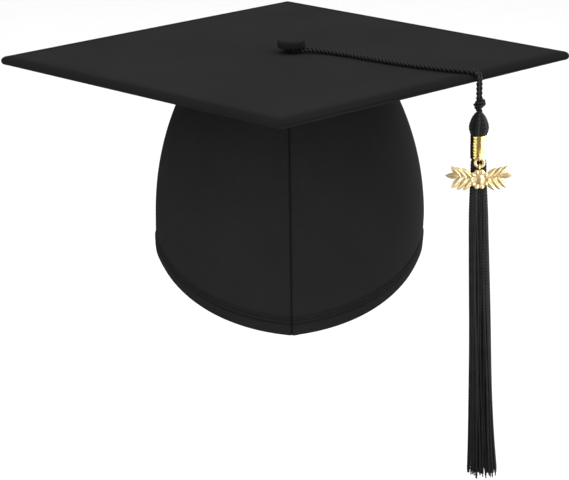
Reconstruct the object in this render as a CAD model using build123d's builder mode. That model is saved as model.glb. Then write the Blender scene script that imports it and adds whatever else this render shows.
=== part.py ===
"""Graduation cap: a cloth-covered square board on a seamed skull cap, with a button and a tassel.

Millimetres, +Z up. The origin is the middle of the head opening, level with the edge over
the ears. The wearer faces -Y, and the board's corners lie on the X and Y axes.
"""

from build123d import *
import math
import os

os.makedirs("parts", exist_ok=True)

# Board
board_side = 241.0
board_thickness = 5.0
board_top = 120.0
board_corner, least_corner = 3.5, 1.0
board_edge_radius = 2.4
cloth = 0.8
under_cover_margin = 16.0

# Skull cap: sewn on slightly to one side of the board, and turned a little
crown_shift = 1.5
crown_turn = 1.3
crown_half_width, width_arc, width_level = 81.6, 167.0, 20.0
crown_front, front_arc, front_level = 96.5, 303.0, -10.0
crown_back, back_arc, back_level = 100.5, 260.0, 0.0
widest_y = 8.0
front_crease, back_crease = 10.0, 8.0
bezier_pull = 0.575
tip_thickness = 1.2
panel_thickness = 0.9
lining_thickness = 0.8
facing_thickness = 0.7
sweatband_thickness = 1.0
layer_gap = 0.1
tape_thickness, tape_width = 0.6, 14.0
label_thickness = 0.4
label_window = (12.0, 34.0)
label_levels = (46.0, 64.0)

# Lower edge of the skull cap, seen from the side: two slopes joined by an arc over the ear
rim_peak_y, rim_peak_z = -14.0, 2.0
rim_front_slope, rim_back_slope = 0.312, -0.13
rim_arc = 90.0
rim_reach = 125.0
facing_zone = (0.6, 13.0)
sweatband_zone = (3.0, 33.0)
tape_zone = (36.0, 160.0)
elastic_half_length, elastic_overlap = 40.0, 6.0

# Button and its post, set a little off the middle of the board
button_x, button_y = 4.0, 6.0
button_radius = 8.3
button_bottom, button_top = board_top + 2.6, board_top + 7.0
button_skin = 0.5
button_round = 2.2
button_mouth = 6.2
back_disc_thickness = 0.8
post_radius = 1.8
post_hole_radius = 2.2
post_flange_radius, post_flange_thickness = 3.5, 0.8
post_end = board_top - 11.5
button_lift = 2.5
grommet_radius, grommet_thickness = 7.0, 0.8
clip_radius, clip_thickness = 4.5, 0.7
part_gap = 0.3

# Tassel: its cord, and the line it hangs on just outside the board's front right edge
cord_radius = 1.0
tassel_x, tassel_y = 111.7, -60.4
strand_offset = 0.74
swing_level = 113.0
knot_top, knot_bottom = 104.2, 97.7
knot_radius, knot_top_radius, knot_end_radius = 3.5, 2.1, 1.5
sway_level = 96.4
head_tip_radius, head_base_radius = 1.1, 4.6
head_shoulders = [(3.4, 95.0), (5.1, 92.8), (5.9, 89.8), (5.5, 86.9)]
ferrule_top, ferrule_bottom = 84.5, 70.5
ferrule_radius, ferrule_bore = 4.9, 4.3
ferrule_ribs = 8
rib_height = 0.25
neck_radius = 4.2
fringe_level = 64.4
fringe_top_radius, fringe_middle_radius, fringe_tip_radius = 5.5, 6.4, 7.8
fringe_bottom = -125.5

# Eye, jump ring and charm, hanging in front of the ferrule and the fringe
charm_y = tassel_y - 7.3
eye_level, eye_loop, eye_wire = 73.1, 2.2, 0.45
ring_level, ring_loop, ring_wire = 69.85, 2.5, 0.9
bail_level, bail_loop, bail_wire = 67.3, 1.45, 0.4
charm_thickness = 1.2
charm_level, boss_radius = 60.0, 5.8
stem_width, stem_reach, stem_rise = 1.5, 13.4, 2.4
leaf_length, leaf_width, leaf_angle = 8.8, 3.6, 50.0
leaf_places, end_leaf_place = (4.0, 7.2, 10.4), 11.4

# The cord's route on the board: from the edge, round the button post and back to the edge
cord_level = board_top + cord_radius + part_gap
loop_end = swing_level + cord_radius + layer_gap
loop_route = [
    (112.44, -59.66, loop_end),
    (112.44, -59.66, cord_level),
    (102.0, -56.0, cord_level),
    (88.6, -49.3, cord_level),
    (70.7, -37.6, cord_level),
    (52.8, -22.6, cord_level),
    (36.7, -8.1, cord_level),
    (19.9, 3.2, cord_level),
    (9.6, 7.9, cord_level),
    (1.5, 10.1, cord_level),
    (-0.1, 3.5, cord_level),
    (8.1, 1.7, cord_level),
    (19.3, 0.9, cord_level),
    (35.3, -9.9, cord_level),
    (51.2, -24.4, cord_level),
    (69.3, -39.4, cord_level),
    (87.4, -51.3, cord_level),
    (101.0, -58.1, cord_level),
    (110.96, -61.14, cord_level),
    (110.96, -61.14, loop_end),
]

board_bottom = board_top - board_thickness
tip_bottom = board_bottom - tip_thickness
grommet_bottom = tip_bottom - grommet_thickness
crown_levels = (-34.0, 0.0, 40.0, 80.0, tip_bottom)
turn = math.radians(crown_turn)
crown_plane = Plane((crown_shift, 0, 0), (math.cos(turn), math.sin(turn), 0), (0, 0, 1))
crown_side = Plane((crown_shift, 0, 0), crown_plane.y_dir, crown_plane.x_dir)
tassel_plane = Plane((tassel_x, tassel_y, 0), (1, 0, 0), (0, -1, 0))
tassel_axis = Axis((tassel_x, tassel_y, 0), (0, 0, 1))
drop_points = [
    (tassel_x + strand_offset, tassel_y + strand_offset),
    (tassel_x - strand_offset, tassel_y - strand_offset),
]


def finish(part, name):
    """Label a finished piece and write it out."""
    part.label = name
    export_step(part, f"parts/{name}.step")


# ------------------------------------------------------------------ board


def board_square(inset, level):
    """The board's rounded square, drawn in by inset, with the hole for the post."""
    side = board_side - 2 * inset
    with BuildSketch(Plane.XY.offset(level)) as square:
        RectangleRounded(side, side, max(board_corner - inset, least_corner), rotation=45)
        with Locations((button_x, button_y)):
            Circle(post_hole_radius, mode=Mode.SUBTRACT)
    return square.sketch


def rims_of(plate):
    """The outer edges of a plate's top and bottom faces."""
    faces = plate.faces().sort_by(Axis.Z)
    return faces[0].outer_wire().edges() + faces[-1].outer_wire().edges()


with BuildPart() as board_core:
    add(board_square(cloth, board_bottom + cloth))
    extrude(amount=board_thickness - 2 * cloth)
    fillet(rims_of(board_core), board_edge_radius - cloth)
finish(board_core.part, "board_core")

with BuildPart() as board_under_cover:
    add(board_square(under_cover_margin, board_bottom))
    extrude(amount=cloth)
finish(board_under_cover.part, "board_under_cover")

with BuildPart() as board_top_cover:
    add(board_square(0, board_bottom))
    extrude(amount=board_thickness)
    fillet(rims_of(board_top_cover), board_edge_radius)
    add(board_core.part, mode=Mode.SUBTRACT)
    add(board_under_cover.part, mode=Mode.SUBTRACT)
finish(board_top_cover.part, "board_top_cover")

# ------------------------------------------------------------------ skull cap


def arc_drop(radius, distance):
    """How far an arc has fallen away at a distance from its widest point."""
    return radius - math.sqrt(radius**2 - distance**2)


def half_oval(level, inset, side):
    """Half of the crown's outline at one level, from the front seam to the back seam."""
    width = crown_half_width - arc_drop(width_arc, level - width_level) - inset
    front = crown_front - arc_drop(front_arc, level - front_level) - inset
    back = crown_back - arc_drop(back_arc, level - back_level) - inset
    pull = bezier_pull * width
    nose, nape = math.radians(front_crease), math.radians(back_crease)
    Bezier(
        (0, -front),
        (side * pull * math.cos(nose), -front + pull * math.sin(nose)),
        (side * width, widest_y - bezier_pull * (front + widest_y)),
        (side * width, widest_y),
    )
    Bezier(
        (side * width, widest_y),
        (side * width, widest_y + bezier_pull * (back - widest_y)),
        (side * pull * math.cos(nape), back - pull * math.sin(nape)),
        (0, back),
    )


def crescent(level, inset, thickness, side):
    """One half of a layer of the crown's wall, cut across at one level."""
    with BuildSketch(crown_plane.offset(level)) as section:
        with BuildLine() as outline:
            half_oval(level, inset, side)
            half_oval(level, inset + thickness, side)
            ends = outline.vertices().sort_by(lambda end: abs(end.X))[0:4].sort_by(Axis.Y)
            Line(ends[0], ends[1])
            Line(ends[2], ends[3])
        make_face()
    return section.sketch


def rim_zone(low, high):
    """The zone between two copies of the rim's side view, raised by low and by high."""
    front_z = rim_peak_z - rim_front_slope * (rim_reach + rim_peak_y)
    back_z = rim_peak_z + rim_back_slope * (rim_reach - rim_peak_y)
    rim = [(-rim_reach, front_z), (rim_peak_y, rim_peak_z), (rim_reach, back_z)]
    lower = [(y, z + low) for y, z in rim]
    upper = [(y, z + high) for y, z in rim]
    with BuildSketch(crown_side) as zone:
        with BuildLine():
            FilletPolyline(*lower, radius=rim_arc)
            FilletPolyline(*upper, radius=rim_arc)
            Line(lower[0], upper[0])
            Line(lower[2], upper[2])
        make_face()
    return zone.sketch


def crown_wall(inset, thickness, sides, zone):
    """A layer of the crown's wall, inset from its outside, between two heights above the rim."""
    with BuildPart() as wall:
        for side in sides:
            for level in crown_levels:
                add(crescent(level, inset, thickness, side))
            loft()
        extrude(rim_zone(*zone), amount=rim_reach, both=True, mode=Mode.INTERSECT)
    return wall.part


def trimmed(wall, x_range, y_range, mode):
    """A wall with an upright block kept (INTERSECT) or cut away (SUBTRACT), in the crown's frame."""
    width, depth = x_range[1] - x_range[0], y_range[1] - y_range[0]
    with BuildPart() as piece:
        add(wall)
        with BuildSketch(crown_plane.offset(-rim_reach)):
            with Locations((sum(x_range) / 2, sum(y_range) / 2)):
                Rectangle(width, depth)
        extrude(amount=2 * rim_reach, mode=mode)
    return piece.part


whole_height = (0.0, 200.0)
inside_panel = panel_thickness + layer_gap
inside_lining = inside_panel + lining_thickness + layer_gap
inside_facing = inside_lining + facing_thickness + layer_gap
inside_sweatband = inside_facing + sweatband_thickness + layer_gap

for hand, side in (("left", -1), ("right", 1)):
    finish(crown_wall(0, panel_thickness, [side], whole_height), f"crown_panel_{hand}")
    finish(crown_wall(inside_panel, lining_thickness, [side], whole_height), f"lining_{hand}")
    finish(crown_wall(inside_lining, facing_thickness, [side], facing_zone), f"hem_facing_{hand}")

tape = crown_wall(inside_lining, tape_thickness, [1, -1], tape_zone)
tape_x = (-tape_width / 2, tape_width / 2)
finish(trimmed(tape, tape_x, (-rim_reach, 0), Mode.INTERSECT), "front_seam_tape")
finish(trimmed(tape, tape_x, (0, rim_reach), Mode.INTERSECT), "back_seam_tape")

band = crown_wall(inside_facing, sweatband_thickness, [1, -1], sweatband_zone)
band_gap = (-elastic_half_length, elastic_half_length)
finish(trimmed(band, band_gap, (0, rim_reach), Mode.SUBTRACT), "sweatband")

elastic = crown_wall(inside_sweatband, sweatband_thickness, [1, -1], sweatband_zone)
elastic_reach = elastic_half_length + elastic_overlap
finish(trimmed(elastic, (-elastic_reach, elastic_reach), (0, rim_reach), Mode.INTERSECT), "back_elastic")

label_cloth = crown_wall(inside_lining + part_gap, label_thickness, [1], label_levels)
finish(trimmed(label_cloth, label_window, (0, rim_reach), Mode.INTERSECT), "size_label")

with BuildPart() as crown_tip:
    with BuildSketch(crown_plane.offset(tip_bottom)) as oval:
        with BuildLine():
            half_oval(tip_bottom, 0, 1)
            half_oval(tip_bottom, 0, -1)
        make_face()
    extrude(amount=tip_thickness)
    with BuildSketch(Plane.XY.offset(tip_bottom)):
        with Locations((button_x, button_y)):
            Circle(post_hole_radius)
    extrude(amount=tip_thickness, mode=Mode.SUBTRACT)
finish(crown_tip.part, "crown_tip")

# ------------------------------------------------------------------ button


def drum(radius, low, high, top_round):
    """A round drum about the button's axis, rounded over at the top."""
    with BuildPart() as body:
        with BuildSketch(Plane((button_x, button_y, low))):
            Circle(radius)
        extrude(amount=high - low)
        fillet(body.faces().sort_by(Axis.Z)[-1].edges(), top_round)
    return body.part


def washer(radius, bore, low, thickness):
    """A flat ring about the button's axis."""
    with BuildPart() as ring:
        with BuildSketch(Plane((button_x, button_y, low))):
            Circle(radius)
            Circle(bore, mode=Mode.SUBTRACT)
        extrude(amount=thickness)
    return ring.part


shell_radius, shell_bottom = button_radius - button_skin, button_bottom + button_skin
shell_top = button_top - button_skin
shell_drum = drum(shell_radius, shell_bottom, shell_top, button_round - button_skin)

with BuildPart() as button_cloth:
    add(drum(button_radius, button_bottom, button_top, button_round))
    fillet(button_cloth.faces().sort_by(Axis.Z)[0].edges(), button_skin)
    add(shell_drum, mode=Mode.SUBTRACT)
    with BuildSketch(Plane((button_x, button_y, button_bottom))):
        Circle(button_mouth)
    extrude(amount=button_skin, mode=Mode.SUBTRACT)
finish(button_cloth.part, "button_cloth")

with BuildPart() as button_shell:
    add(shell_drum)
    hollow_round = button_round - 2 * button_skin
    hollow = drum(shell_radius - button_skin, shell_bottom, shell_top - button_skin, hollow_round)
    add(hollow, mode=Mode.SUBTRACT)
finish(button_shell.part, "button_shell")

back_radius = shell_radius - button_skin
finish(washer(back_radius, post_hole_radius, shell_bottom, back_disc_thickness), "button_back")

flange_bottom = shell_bottom + back_disc_thickness + part_gap
with BuildPart() as button_post:
    with BuildSketch(Plane((button_x, button_y, post_end))):
        Circle(post_radius)
    extrude(amount=flange_bottom - post_end)
    with BuildSketch(Plane((button_x, button_y, flange_bottom))):
        Circle(post_flange_radius)
    extrude(amount=post_flange_thickness)
    chamfer(button_post.faces().sort_by(Axis.Z)[0].edges(), post_radius / 3)
finish(button_post.part, "button_post")

clip_bottom = grommet_bottom - button_lift - part_gap - clip_thickness
finish(washer(grommet_radius, post_hole_radius, grommet_bottom, grommet_thickness), "board_grommet")
finish(washer(clip_radius, post_radius, clip_bottom, clip_thickness), "button_clip")

# ------------------------------------------------------------------ tassel cord


def corner_radii(route):
    """The largest arc that the two runs at each corner allow."""
    points = [Vector(*point) for point in route]
    radii = []
    for before, corner, after in zip(points, points[1:], points[2:]):
        arriving, leaving = corner - before, after - corner
        half_turn = math.radians(arriving.get_angle(leaving) / 2)
        shorter = min(arriving.length, leaving.length)
        radii.append(0.45 * shorter / math.tan(half_turn))
    return radii


loop_radii = corner_radii(loop_route)
with BuildPart() as tassel_loop:
    with BuildLine() as loop_path:
        FilletPolyline(*loop_route, radius=loop_radii)
    with BuildSketch(Plane(loop_route[0], z_dir=(0, 0, 1))):
        Circle(cord_radius)
    sweep(path=loop_path.wires()[0])
finish(tassel_loop.part, "tassel_loop")
loop_length = loop_path.wires()[0].length
print("cord arcs, mm:", " ".join(f"{radius:.1f}" for radius in loop_radii))
print(f"cord on the board {loop_length:.1f} mm, volume / (section x length)",
      f"{tassel_loop.part.volume / (math.pi * cord_radius**2 * loop_length):.4f}")

with BuildPart() as tassel_drop:
    with BuildSketch(Plane.XY.offset(knot_top)):
        with Locations(*drop_points):
            Circle(cord_radius)
    extrude(amount=swing_level - knot_top)
    with Locations(*[(x, y, swing_level) for x, y in drop_points]):
        Sphere(cord_radius)
finish(tassel_drop.part, "tassel_drop")

# ------------------------------------------------------------------ tassel


def ball_quarter(radius, level):
    """A quarter circle about a joint's centre, from the tassel's axis out to its side."""
    return CenterArc((0, level), radius, 90, -90)


with BuildPart() as tassel_knot:
    with BuildSketch(tassel_plane):
        with BuildLine():
            Spline(
                (knot_end_radius, knot_bottom),
                (knot_radius, (knot_top + knot_bottom) / 2),
                (knot_top_radius, knot_top),
            )
            Polyline(
                (knot_top_radius, knot_top),
                (0, knot_top),
                (0, knot_bottom),
                (knot_end_radius, knot_bottom),
            )
        make_face()
    revolve(axis=tassel_axis)
finish(tassel_knot.part, "tassel_knot")

with BuildPart() as tassel_head:
    with BuildSketch(tassel_plane):
        with BuildLine():
            tip = ball_quarter(head_tip_radius, sway_level)
            Spline(tip @ 1, *head_shoulders, (head_base_radius, ferrule_top))
            Polyline(
                (head_base_radius, ferrule_top),
                (neck_radius, ferrule_top),
                (neck_radius, ferrule_bottom),
                (0, ferrule_bottom),
                tip @ 0,
            )
        make_face()
    revolve(axis=tassel_axis)
finish(tassel_head.part, "tassel_head")

ferrule_length, ferrule_middle = ferrule_top - ferrule_bottom, (ferrule_top + ferrule_bottom) / 2
rib_pitch = ferrule_length / ferrule_ribs
with BuildPart() as ferrule:
    with BuildSketch(tassel_plane):
        groove_radius = ferrule_radius - rib_height
        with Locations((groove_radius / 2, ferrule_middle)):
            Rectangle(groove_radius, ferrule_length)
        for rib in range(ferrule_ribs):
            with Locations((ferrule_radius - rib_pitch / 2, ferrule_bottom + (rib + 0.5) * rib_pitch)):
                Circle(rib_pitch / 2)
        with Locations((ferrule_bore / 2, ferrule_middle)):
            Rectangle(ferrule_bore, ferrule_length, mode=Mode.SUBTRACT)
    revolve(axis=tassel_axis)
finish(ferrule.part, "ferrule")

with BuildPart() as ferrule_eye:
    with Locations((tassel_x, charm_y, eye_level)):
        Torus(eye_loop, eye_wire, rotation=(0, 90, 0))
finish(ferrule_eye.part, "ferrule_eye")

with BuildPart() as fringe:
    with BuildSketch(tassel_plane):
        with BuildLine():
            dome = ball_quarter(fringe_top_radius, fringe_level)
            Spline(
                dome @ 1,
                (fringe_middle_radius, (fringe_level + fringe_bottom) / 2),
                (fringe_tip_radius, fringe_bottom),
            )
            Polyline((fringe_tip_radius, fringe_bottom), (0, fringe_bottom), dome @ 0)
        make_face()
    revolve(axis=tassel_axis)
finish(fringe.part, "fringe")

# ------------------------------------------------------------------ ring and charm

with BuildPart() as charm_ring:
    with Locations((tassel_x, charm_y, ring_level)):
        Torus(ring_loop, ring_wire, rotation=(90, 0, 0))
finish(charm_ring.part, "charm_ring")

with BuildSketch() as leaf:
    with BuildLine():
        ThreePointArc((0, 0), (leaf_length / 2, leaf_width / 2), (leaf_length, 0))
        ThreePointArc((0, 0), (leaf_length / 2, -leaf_width / 2), (leaf_length, 0))
    make_face()

leaf_spots = [(place, spread) for place in leaf_places for spread in (-leaf_angle, leaf_angle)]
leaf_spots.append((end_leaf_place, 0))
charm_plane = Plane((tassel_x, charm_y + charm_thickness / 2, charm_level), (1, 0, 0), (0, -1, 0))
with BuildPart() as charm:
    with BuildSketch(charm_plane):
        Circle(boss_radius)
        with BuildLine():
            stem = ThreePointArc((-stem_reach, stem_rise), (0, 0), (stem_reach, stem_rise))
            offset(stem, stem_width / 2, side=Side.BOTH)
        make_face()
        for place, spread in leaf_spots:
            rise = stem_rise * (place / stem_reach) ** 2
            with Locations((place, rise)):
                add(leaf.sketch, rotation=spread)
            with Locations((-place, rise)):
                add(leaf.sketch, rotation=180 - spread)
    extrude(amount=charm_thickness)
    with Locations((tassel_x, charm_y, bail_level)):
        Torus(bail_loop, bail_wire, rotation=(0, 90, 0))
finish(charm.part, "charm")
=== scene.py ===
import math

import bpy
import numpy as np
from mathutils import Matrix, Vector


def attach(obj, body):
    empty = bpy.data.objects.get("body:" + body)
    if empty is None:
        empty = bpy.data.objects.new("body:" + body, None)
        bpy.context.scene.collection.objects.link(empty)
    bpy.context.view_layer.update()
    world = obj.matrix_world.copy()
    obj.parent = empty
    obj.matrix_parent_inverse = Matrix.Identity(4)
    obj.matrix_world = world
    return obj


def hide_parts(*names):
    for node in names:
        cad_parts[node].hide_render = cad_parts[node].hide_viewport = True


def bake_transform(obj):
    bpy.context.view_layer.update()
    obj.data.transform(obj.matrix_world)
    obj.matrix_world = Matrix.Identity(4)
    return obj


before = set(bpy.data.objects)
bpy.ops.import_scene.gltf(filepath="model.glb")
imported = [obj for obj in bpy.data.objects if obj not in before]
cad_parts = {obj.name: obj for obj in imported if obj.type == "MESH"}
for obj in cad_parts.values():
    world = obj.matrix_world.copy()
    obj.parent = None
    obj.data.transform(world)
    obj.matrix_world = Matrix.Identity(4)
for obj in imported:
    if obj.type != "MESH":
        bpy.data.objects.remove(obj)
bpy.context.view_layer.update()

rng = np.random.default_rng(7)
MM = 0.001

# ---- camera and light


def put(name, data):
    """A new object in the scene that holds the data."""
    made = bpy.data.objects.new(name, data)
    bpy.context.collection.objects.link(made)
    return made


def add_node(tree, kind, inputs=None, **settings):
    """A new node with its settings, and with its inputs linked or set."""
    made = tree.nodes.new(kind)
    for key, value in settings.items():
        setattr(made, key, value)
    for key, value in (inputs or {}).items():
        if isinstance(value, bpy.types.NodeSocket):
            tree.links.new(value, made.inputs[key])
        else:
            made.inputs[key].default_value = value
    return made


def setup_camera():
    """A long lens, a little above the board and almost straight in front of its nearest corner."""
    azimuth, elevation, roll = math.radians(0.89), math.radians(16.56), math.radians(-0.69)
    distance, aim_right, aim_height = 1.441, -0.0014, 0.0044
    back = Vector((math.sin(azimuth) * math.cos(elevation), -math.cos(azimuth) * math.cos(elevation),
                   math.sin(elevation)))
    right = Vector((math.cos(azimuth), math.sin(azimuth), 0))
    up = back.cross(right)
    across = right * math.cos(roll) + up * math.sin(roll)
    upward = up * math.cos(roll) - right * math.sin(roll)
    data = bpy.data.cameras.new("camera")
    data.lens, data.sensor_width = 149.9, 36
    data.clip_start, data.clip_end = 0.1, 40
    camera = put("camera", data)
    spot = right * aim_right + Vector((0, 0, aim_height)) + back * distance
    camera.matrix_world = Matrix.Translation(spot) @ Matrix((across, upward, back)).transposed().to_4x4()
    bpy.context.scene.camera = camera


def area_light(name, place, aim, size, power, shiny=True):
    """A round lamp; where it isn't shiny, glossy things don't mirror it."""
    data = bpy.data.lights.new(name, "AREA")
    data.shape, data.size, data.energy = "DISK", size, power
    light = put(name, data)
    light.location = place
    light.visible_glossy = shiny
    light.rotation_euler = (Vector(aim) - Vector(place)).to_track_quat("-Z", "Y").to_euler()


setup_camera()
bpy.context.scene.view_settings.view_transform = "Standard"


def studio_world():
    """Even soft light. Shiny things see a dark studio with a bright wall on the right of the camera
    and a dimmer one on its left."""
    soft_light, dark_studio, right_wall, left_wall = 0.85, 0.3, 5.0, 1.9
    world = bpy.data.worlds.new("studio")
    bpy.context.scene.world = world
    world.use_nodes = True
    tree = world.node_tree

    def maths(operation, a, b):
        return add_node(tree, "ShaderNodeMath", {0: a, 1: b}, operation=operation).outputs[0]

    def fade(value, low, high, level):
        spread = {"Value": value, "From Min": low, "From Max": high, "To Max": level}
        return add_node(tree, "ShaderNodeMapRange", spread, interpolation_type="SMOOTHSTEP").outputs[0]

    plain = tree.nodes["Background"]
    plain.inputs["Color"].default_value = (1, 1, 1, 1)
    plain.inputs["Strength"].default_value = soft_light
    way = add_node(tree, "ShaderNodeTexCoord").outputs["Generated"]
    split = add_node(tree, "ShaderNodeSeparateXYZ", {0: way}).outputs
    right = fade(split["X"], 0.35, 0.7, right_wall)
    left = fade(split["X"], -0.35, -0.75, left_wall)
    left_front = maths("MULTIPLY", left, fade(split["Y"], 0.05, -0.4, 1.0))
    strength = maths("ADD", maths("ADD", right, left_front), dark_studio)
    shiny = add_node(tree, "ShaderNodeBackground", {"Strength": strength})
    glossy = add_node(tree, "ShaderNodeLightPath").outputs["Is Glossy Ray"]
    mix = add_node(tree, "ShaderNodeMixShader", {0: glossy, 1: plain.outputs[0], 2: shiny.outputs[0]})
    tree.links.new(mix.outputs[0], tree.nodes["World Output"].inputs["Surface"])


studio_world()
area_light("overhead", place=(0.0, 0.35, 2.4), aim=(0, 0.35, 0), size=3.4, power=38)
area_light("front", place=(0.0, -2.3, -0.05), aim=(0, 0, 0.03), size=1.6, power=11.6, shiny=False)
area_light("key", place=(-1.5, -1.6, 1.7), aim=(0, 0, 0), size=1.0, power=4)

# ---- materials


class Shader:
    """A Principled material, with short calls for the nodes that feed it."""

    def __init__(self, name, roughness=0.7, **sockets):
        self.material = bpy.data.materials.new(name)
        self.material.use_nodes = True
        self.tree = self.material.node_tree
        self.bsdf = self.tree.nodes["Principled BSDF"]
        self.bsdf.inputs["Roughness"].default_value = roughness
        for socket, value in sockets.items():
            self.bsdf.inputs[socket.replace("_", " ")].default_value = value

    def node(self, kind, inputs=None, **settings):
        return add_node(self.tree, kind, inputs, **settings)

    def link(self, output, socket):
        self.tree.links.new(output, self.bsdf.inputs[socket])

    def place(self):
        return self.node("ShaderNodeTexCoord").outputs["Object"]

    def mark(self, name, kind):
        """What a piece's own points say."""
        return self.node("ShaderNodeAttribute", attribute_name=name).outputs[kind]

    def stretched(self, vector, scale, turns=(0, 0, 0)):
        return self.node("ShaderNodeMapping", {"Vector": vector, "Scale": scale,
                                               "Rotation": turns}).outputs[0]

    def noise(self, vector, scale, detail=3.0, rough=0.5):
        return self.node("ShaderNodeTexNoise", {"Vector": vector, "Scale": scale, "Detail": detail,
                                                "Roughness": rough}).outputs[0]

    def bands(self, vector, scale, direction, distortion):
        waves = {"Vector": vector, "Scale": scale, "Distortion": distortion, "Detail": 2.0}
        return self.node("ShaderNodeTexWave", waves, bands_direction=direction).outputs["Fac"]

    def maths(self, operation, a, b):
        return self.node("ShaderNodeMath", {0: a, 1: b}, operation=operation).outputs[0]

    def weighed(self, *parts):
        """The sum of (value, weight) pairs."""
        total = 0.0
        for value, weight in parts:
            total = self.maths("ADD", total, self.maths("MULTIPLY", value, weight))
        return total

    def ramp(self, factor, low, high, low_at=0.0, high_at=1.0):
        made = self.node("ShaderNodeValToRGB", {"Fac": factor})
        first, last = made.color_ramp.elements
        first.position, last.position = low_at, high_at
        first.color, last.color = low, high
        return made.outputs["Color"]

    def bump(self, height, distance, strength):
        return self.node("ShaderNodeBump", {"Height": height, "Distance": distance,
                                            "Strength": strength}).outputs[0]


def grey(value, tint=0.0):
    return (value, value, value * (1 + tint), 1)


def woven(name, dark, light, pitch=0.00055, depth=0.00006, roughness=0.7, sheen=0.08, tint=0.02,
          twill=False, gloss=0.08, painted_shade_strength=0.0):
    """Cloth: crossed threads of one pitch, slubs, and soft patches of lighter wear;
    painted_shade_strength paints shade into its colour where the piece's crease attribute is set."""
    cloth = Shader(name, roughness, Sheen_Weight=sheen, Sheen_Roughness=0.5,
                   Specular_IOR_Level=gloss)
    where = cloth.mark("thread", "Vector")
    turned = cloth.stretched(where, (1, 1, 1), (0, 0, math.radians(45 if twill else 0)))
    warp = cloth.bands(turned, 0.314 / pitch, "X", 0.6)
    weft = cloth.bands(where, 0.345 / pitch, "Y", 0.5)
    threads = cloth.maths("MULTIPLY", warp, cloth.maths("ADD", weft, 0.6))
    slub = cloth.noise(cloth.stretched(where, (180, 900, 1)), 1.0, 2.0)
    patches = cloth.noise(where, 22)
    mixed = cloth.weighed((threads, 0.34), (slub, 0.3), (patches, 0.36))
    colour = cloth.ramp(mixed, grey(dark, tint), grey(light, tint), 0.25, 0.75)
    # painted shade: the colour is scaled down by the crease attribute times painted_shade_strength
    if painted_shade_strength:
        left = cloth.maths("SUBTRACT", 1.0, cloth.maths("MULTIPLY", cloth.mark("crease", "Fac"), painted_shade_strength))
        colour = cloth.node("ShaderNodeVectorMath", {0: colour, "Scale": left},
                            operation="SCALE").outputs[0]
    cloth.link(colour, "Base Color")
    cloth.link(cloth.bump(cloth.weighed((threads, 1.0), (slub, 0.5)), depth, 0.6), "Normal")
    return cloth.material


def yarn(name, dark, light, gloss=0.08, groove=0.5, shadow=0.35):
    """Rayon yarn: fibres that run round the twist, with shade painted dark into the groove between its
    two plies and painted light on their crests.
    """
    fibre = Shader(name, 0.55, Specular_IOR_Level=gloss)
    where = fibre.mark("thread", "Vector")
    hairs = fibre.noise(fibre.stretched(where, (9000, 500, 0), (0, 0, math.radians(24))), 1.0)
    broad = fibre.noise(fibre.place(), 160)
    # painted ply shading: the third thread coordinate lightens the crests and leaves the groove dark
    painted_ply_shading = fibre.node("ShaderNodeSeparateXYZ", {0: where}).outputs["Z"]
    mixed = fibre.weighed((hairs, 0.35), (broad, 0.25), (painted_ply_shading, groove))
    fibre.link(fibre.ramp(mixed, grey(dark, 0.04), grey(light, 0.04), shadow, 0.3 + groove),
               "Base Color")
    fibre.link(fibre.bump(hairs, 0.00008, 0.7), "Normal")
    return fibre.material


def metal(name, dark, light, roughness):
    """Plated metal with fine scratches, and duller where it has been handled."""
    plate = Shader(name, roughness, Metallic=1.0)
    where = plate.place()
    wear = plate.noise(where, 260, 4.0, 0.6)
    plate.link(plate.ramp(wear, dark, light, 0.3, 0.7), "Base Color")
    brushed = plate.noise(plate.stretched(where, (700, 700, 9000)), 1.0)
    spread = {"Value": wear, "To Min": roughness * 0.7, "To Max": roughness * 1.5}
    plate.link(plate.node("ShaderNodeMapRange", spread).outputs[0], "Roughness")
    plate.link(plate.bump(brushed, 0.00003, 0.4), "Normal")
    return plate.material


def board_stock(name):
    """Grey-brown chipboard with short fibres."""
    stock = Shader(name, 0.85)
    fibres = stock.noise(stock.stretched(stock.place(), (400, 400, 2500)), 1.0, 5.0)
    stock.link(stock.ramp(fibres, (0.19, 0.15, 0.1, 1), (0.4, 0.33, 0.24, 1)), "Base Color")
    stock.link(stock.bump(fibres, 0.0001, 0.5), "Normal")
    return stock.material


# the cap cloth takes painted shade where a piece carries the crease attribute
cap_cloth = woven("cap_twill", 0.0125, 0.0215, roughness=0.9, sheen=0.0, twill=True, gloss=0.02,
                  painted_shade_strength=0.6)
lining_cloth = woven("lining_poplin", 0.01, 0.018, pitch=0.0004, depth=0.00004, roughness=0.6, tint=0.04)
band_cloth = woven("band_grosgrain", 0.009, 0.02, pitch=0.0013, depth=0.0002)
tape_cloth = woven("seam_twill_tape", 0.01, 0.02, pitch=0.0009, depth=0.00012, roughness=0.75, twill=True)
elastic_cloth = woven("ribbed_elastic", 0.008, 0.018, pitch=0.0021, depth=0.0003, roughness=0.65)
label_cloth = woven("label_satin", 0.55, 0.7, pitch=0.0003, depth=0.00003, roughness=0.4, sheen=0.1,
                    tint=-0.03)
thread_shine = yarn("sewing_thread", 0.006, 0.016)
yarn_black = yarn("tassel_yarn", 0.0008, 0.059, groove=0.9)
cord_black = yarn("cord_yarn", 0.0, 0.021, groove=1.0, shadow=0.8)
gold = metal("polished_gold", (0.74, 0.54, 0.14, 1), (0.93, 0.76, 0.3, 1), 0.16)
pale_gold = metal("pale_gold", (0.7, 0.5, 0.22, 1), (0.96, 0.8, 0.48, 1), 0.4)
steel = metal("nickel_plate", (0.4, 0.4, 0.41, 1), (0.62, 0.62, 0.62, 1), 0.28)
black_tin = metal("black_lacquered_tin", (0.012, 0.012, 0.012, 1), (0.03, 0.03, 0.03, 1), 0.5)
chipboard = board_stock("chipboard")


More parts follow.
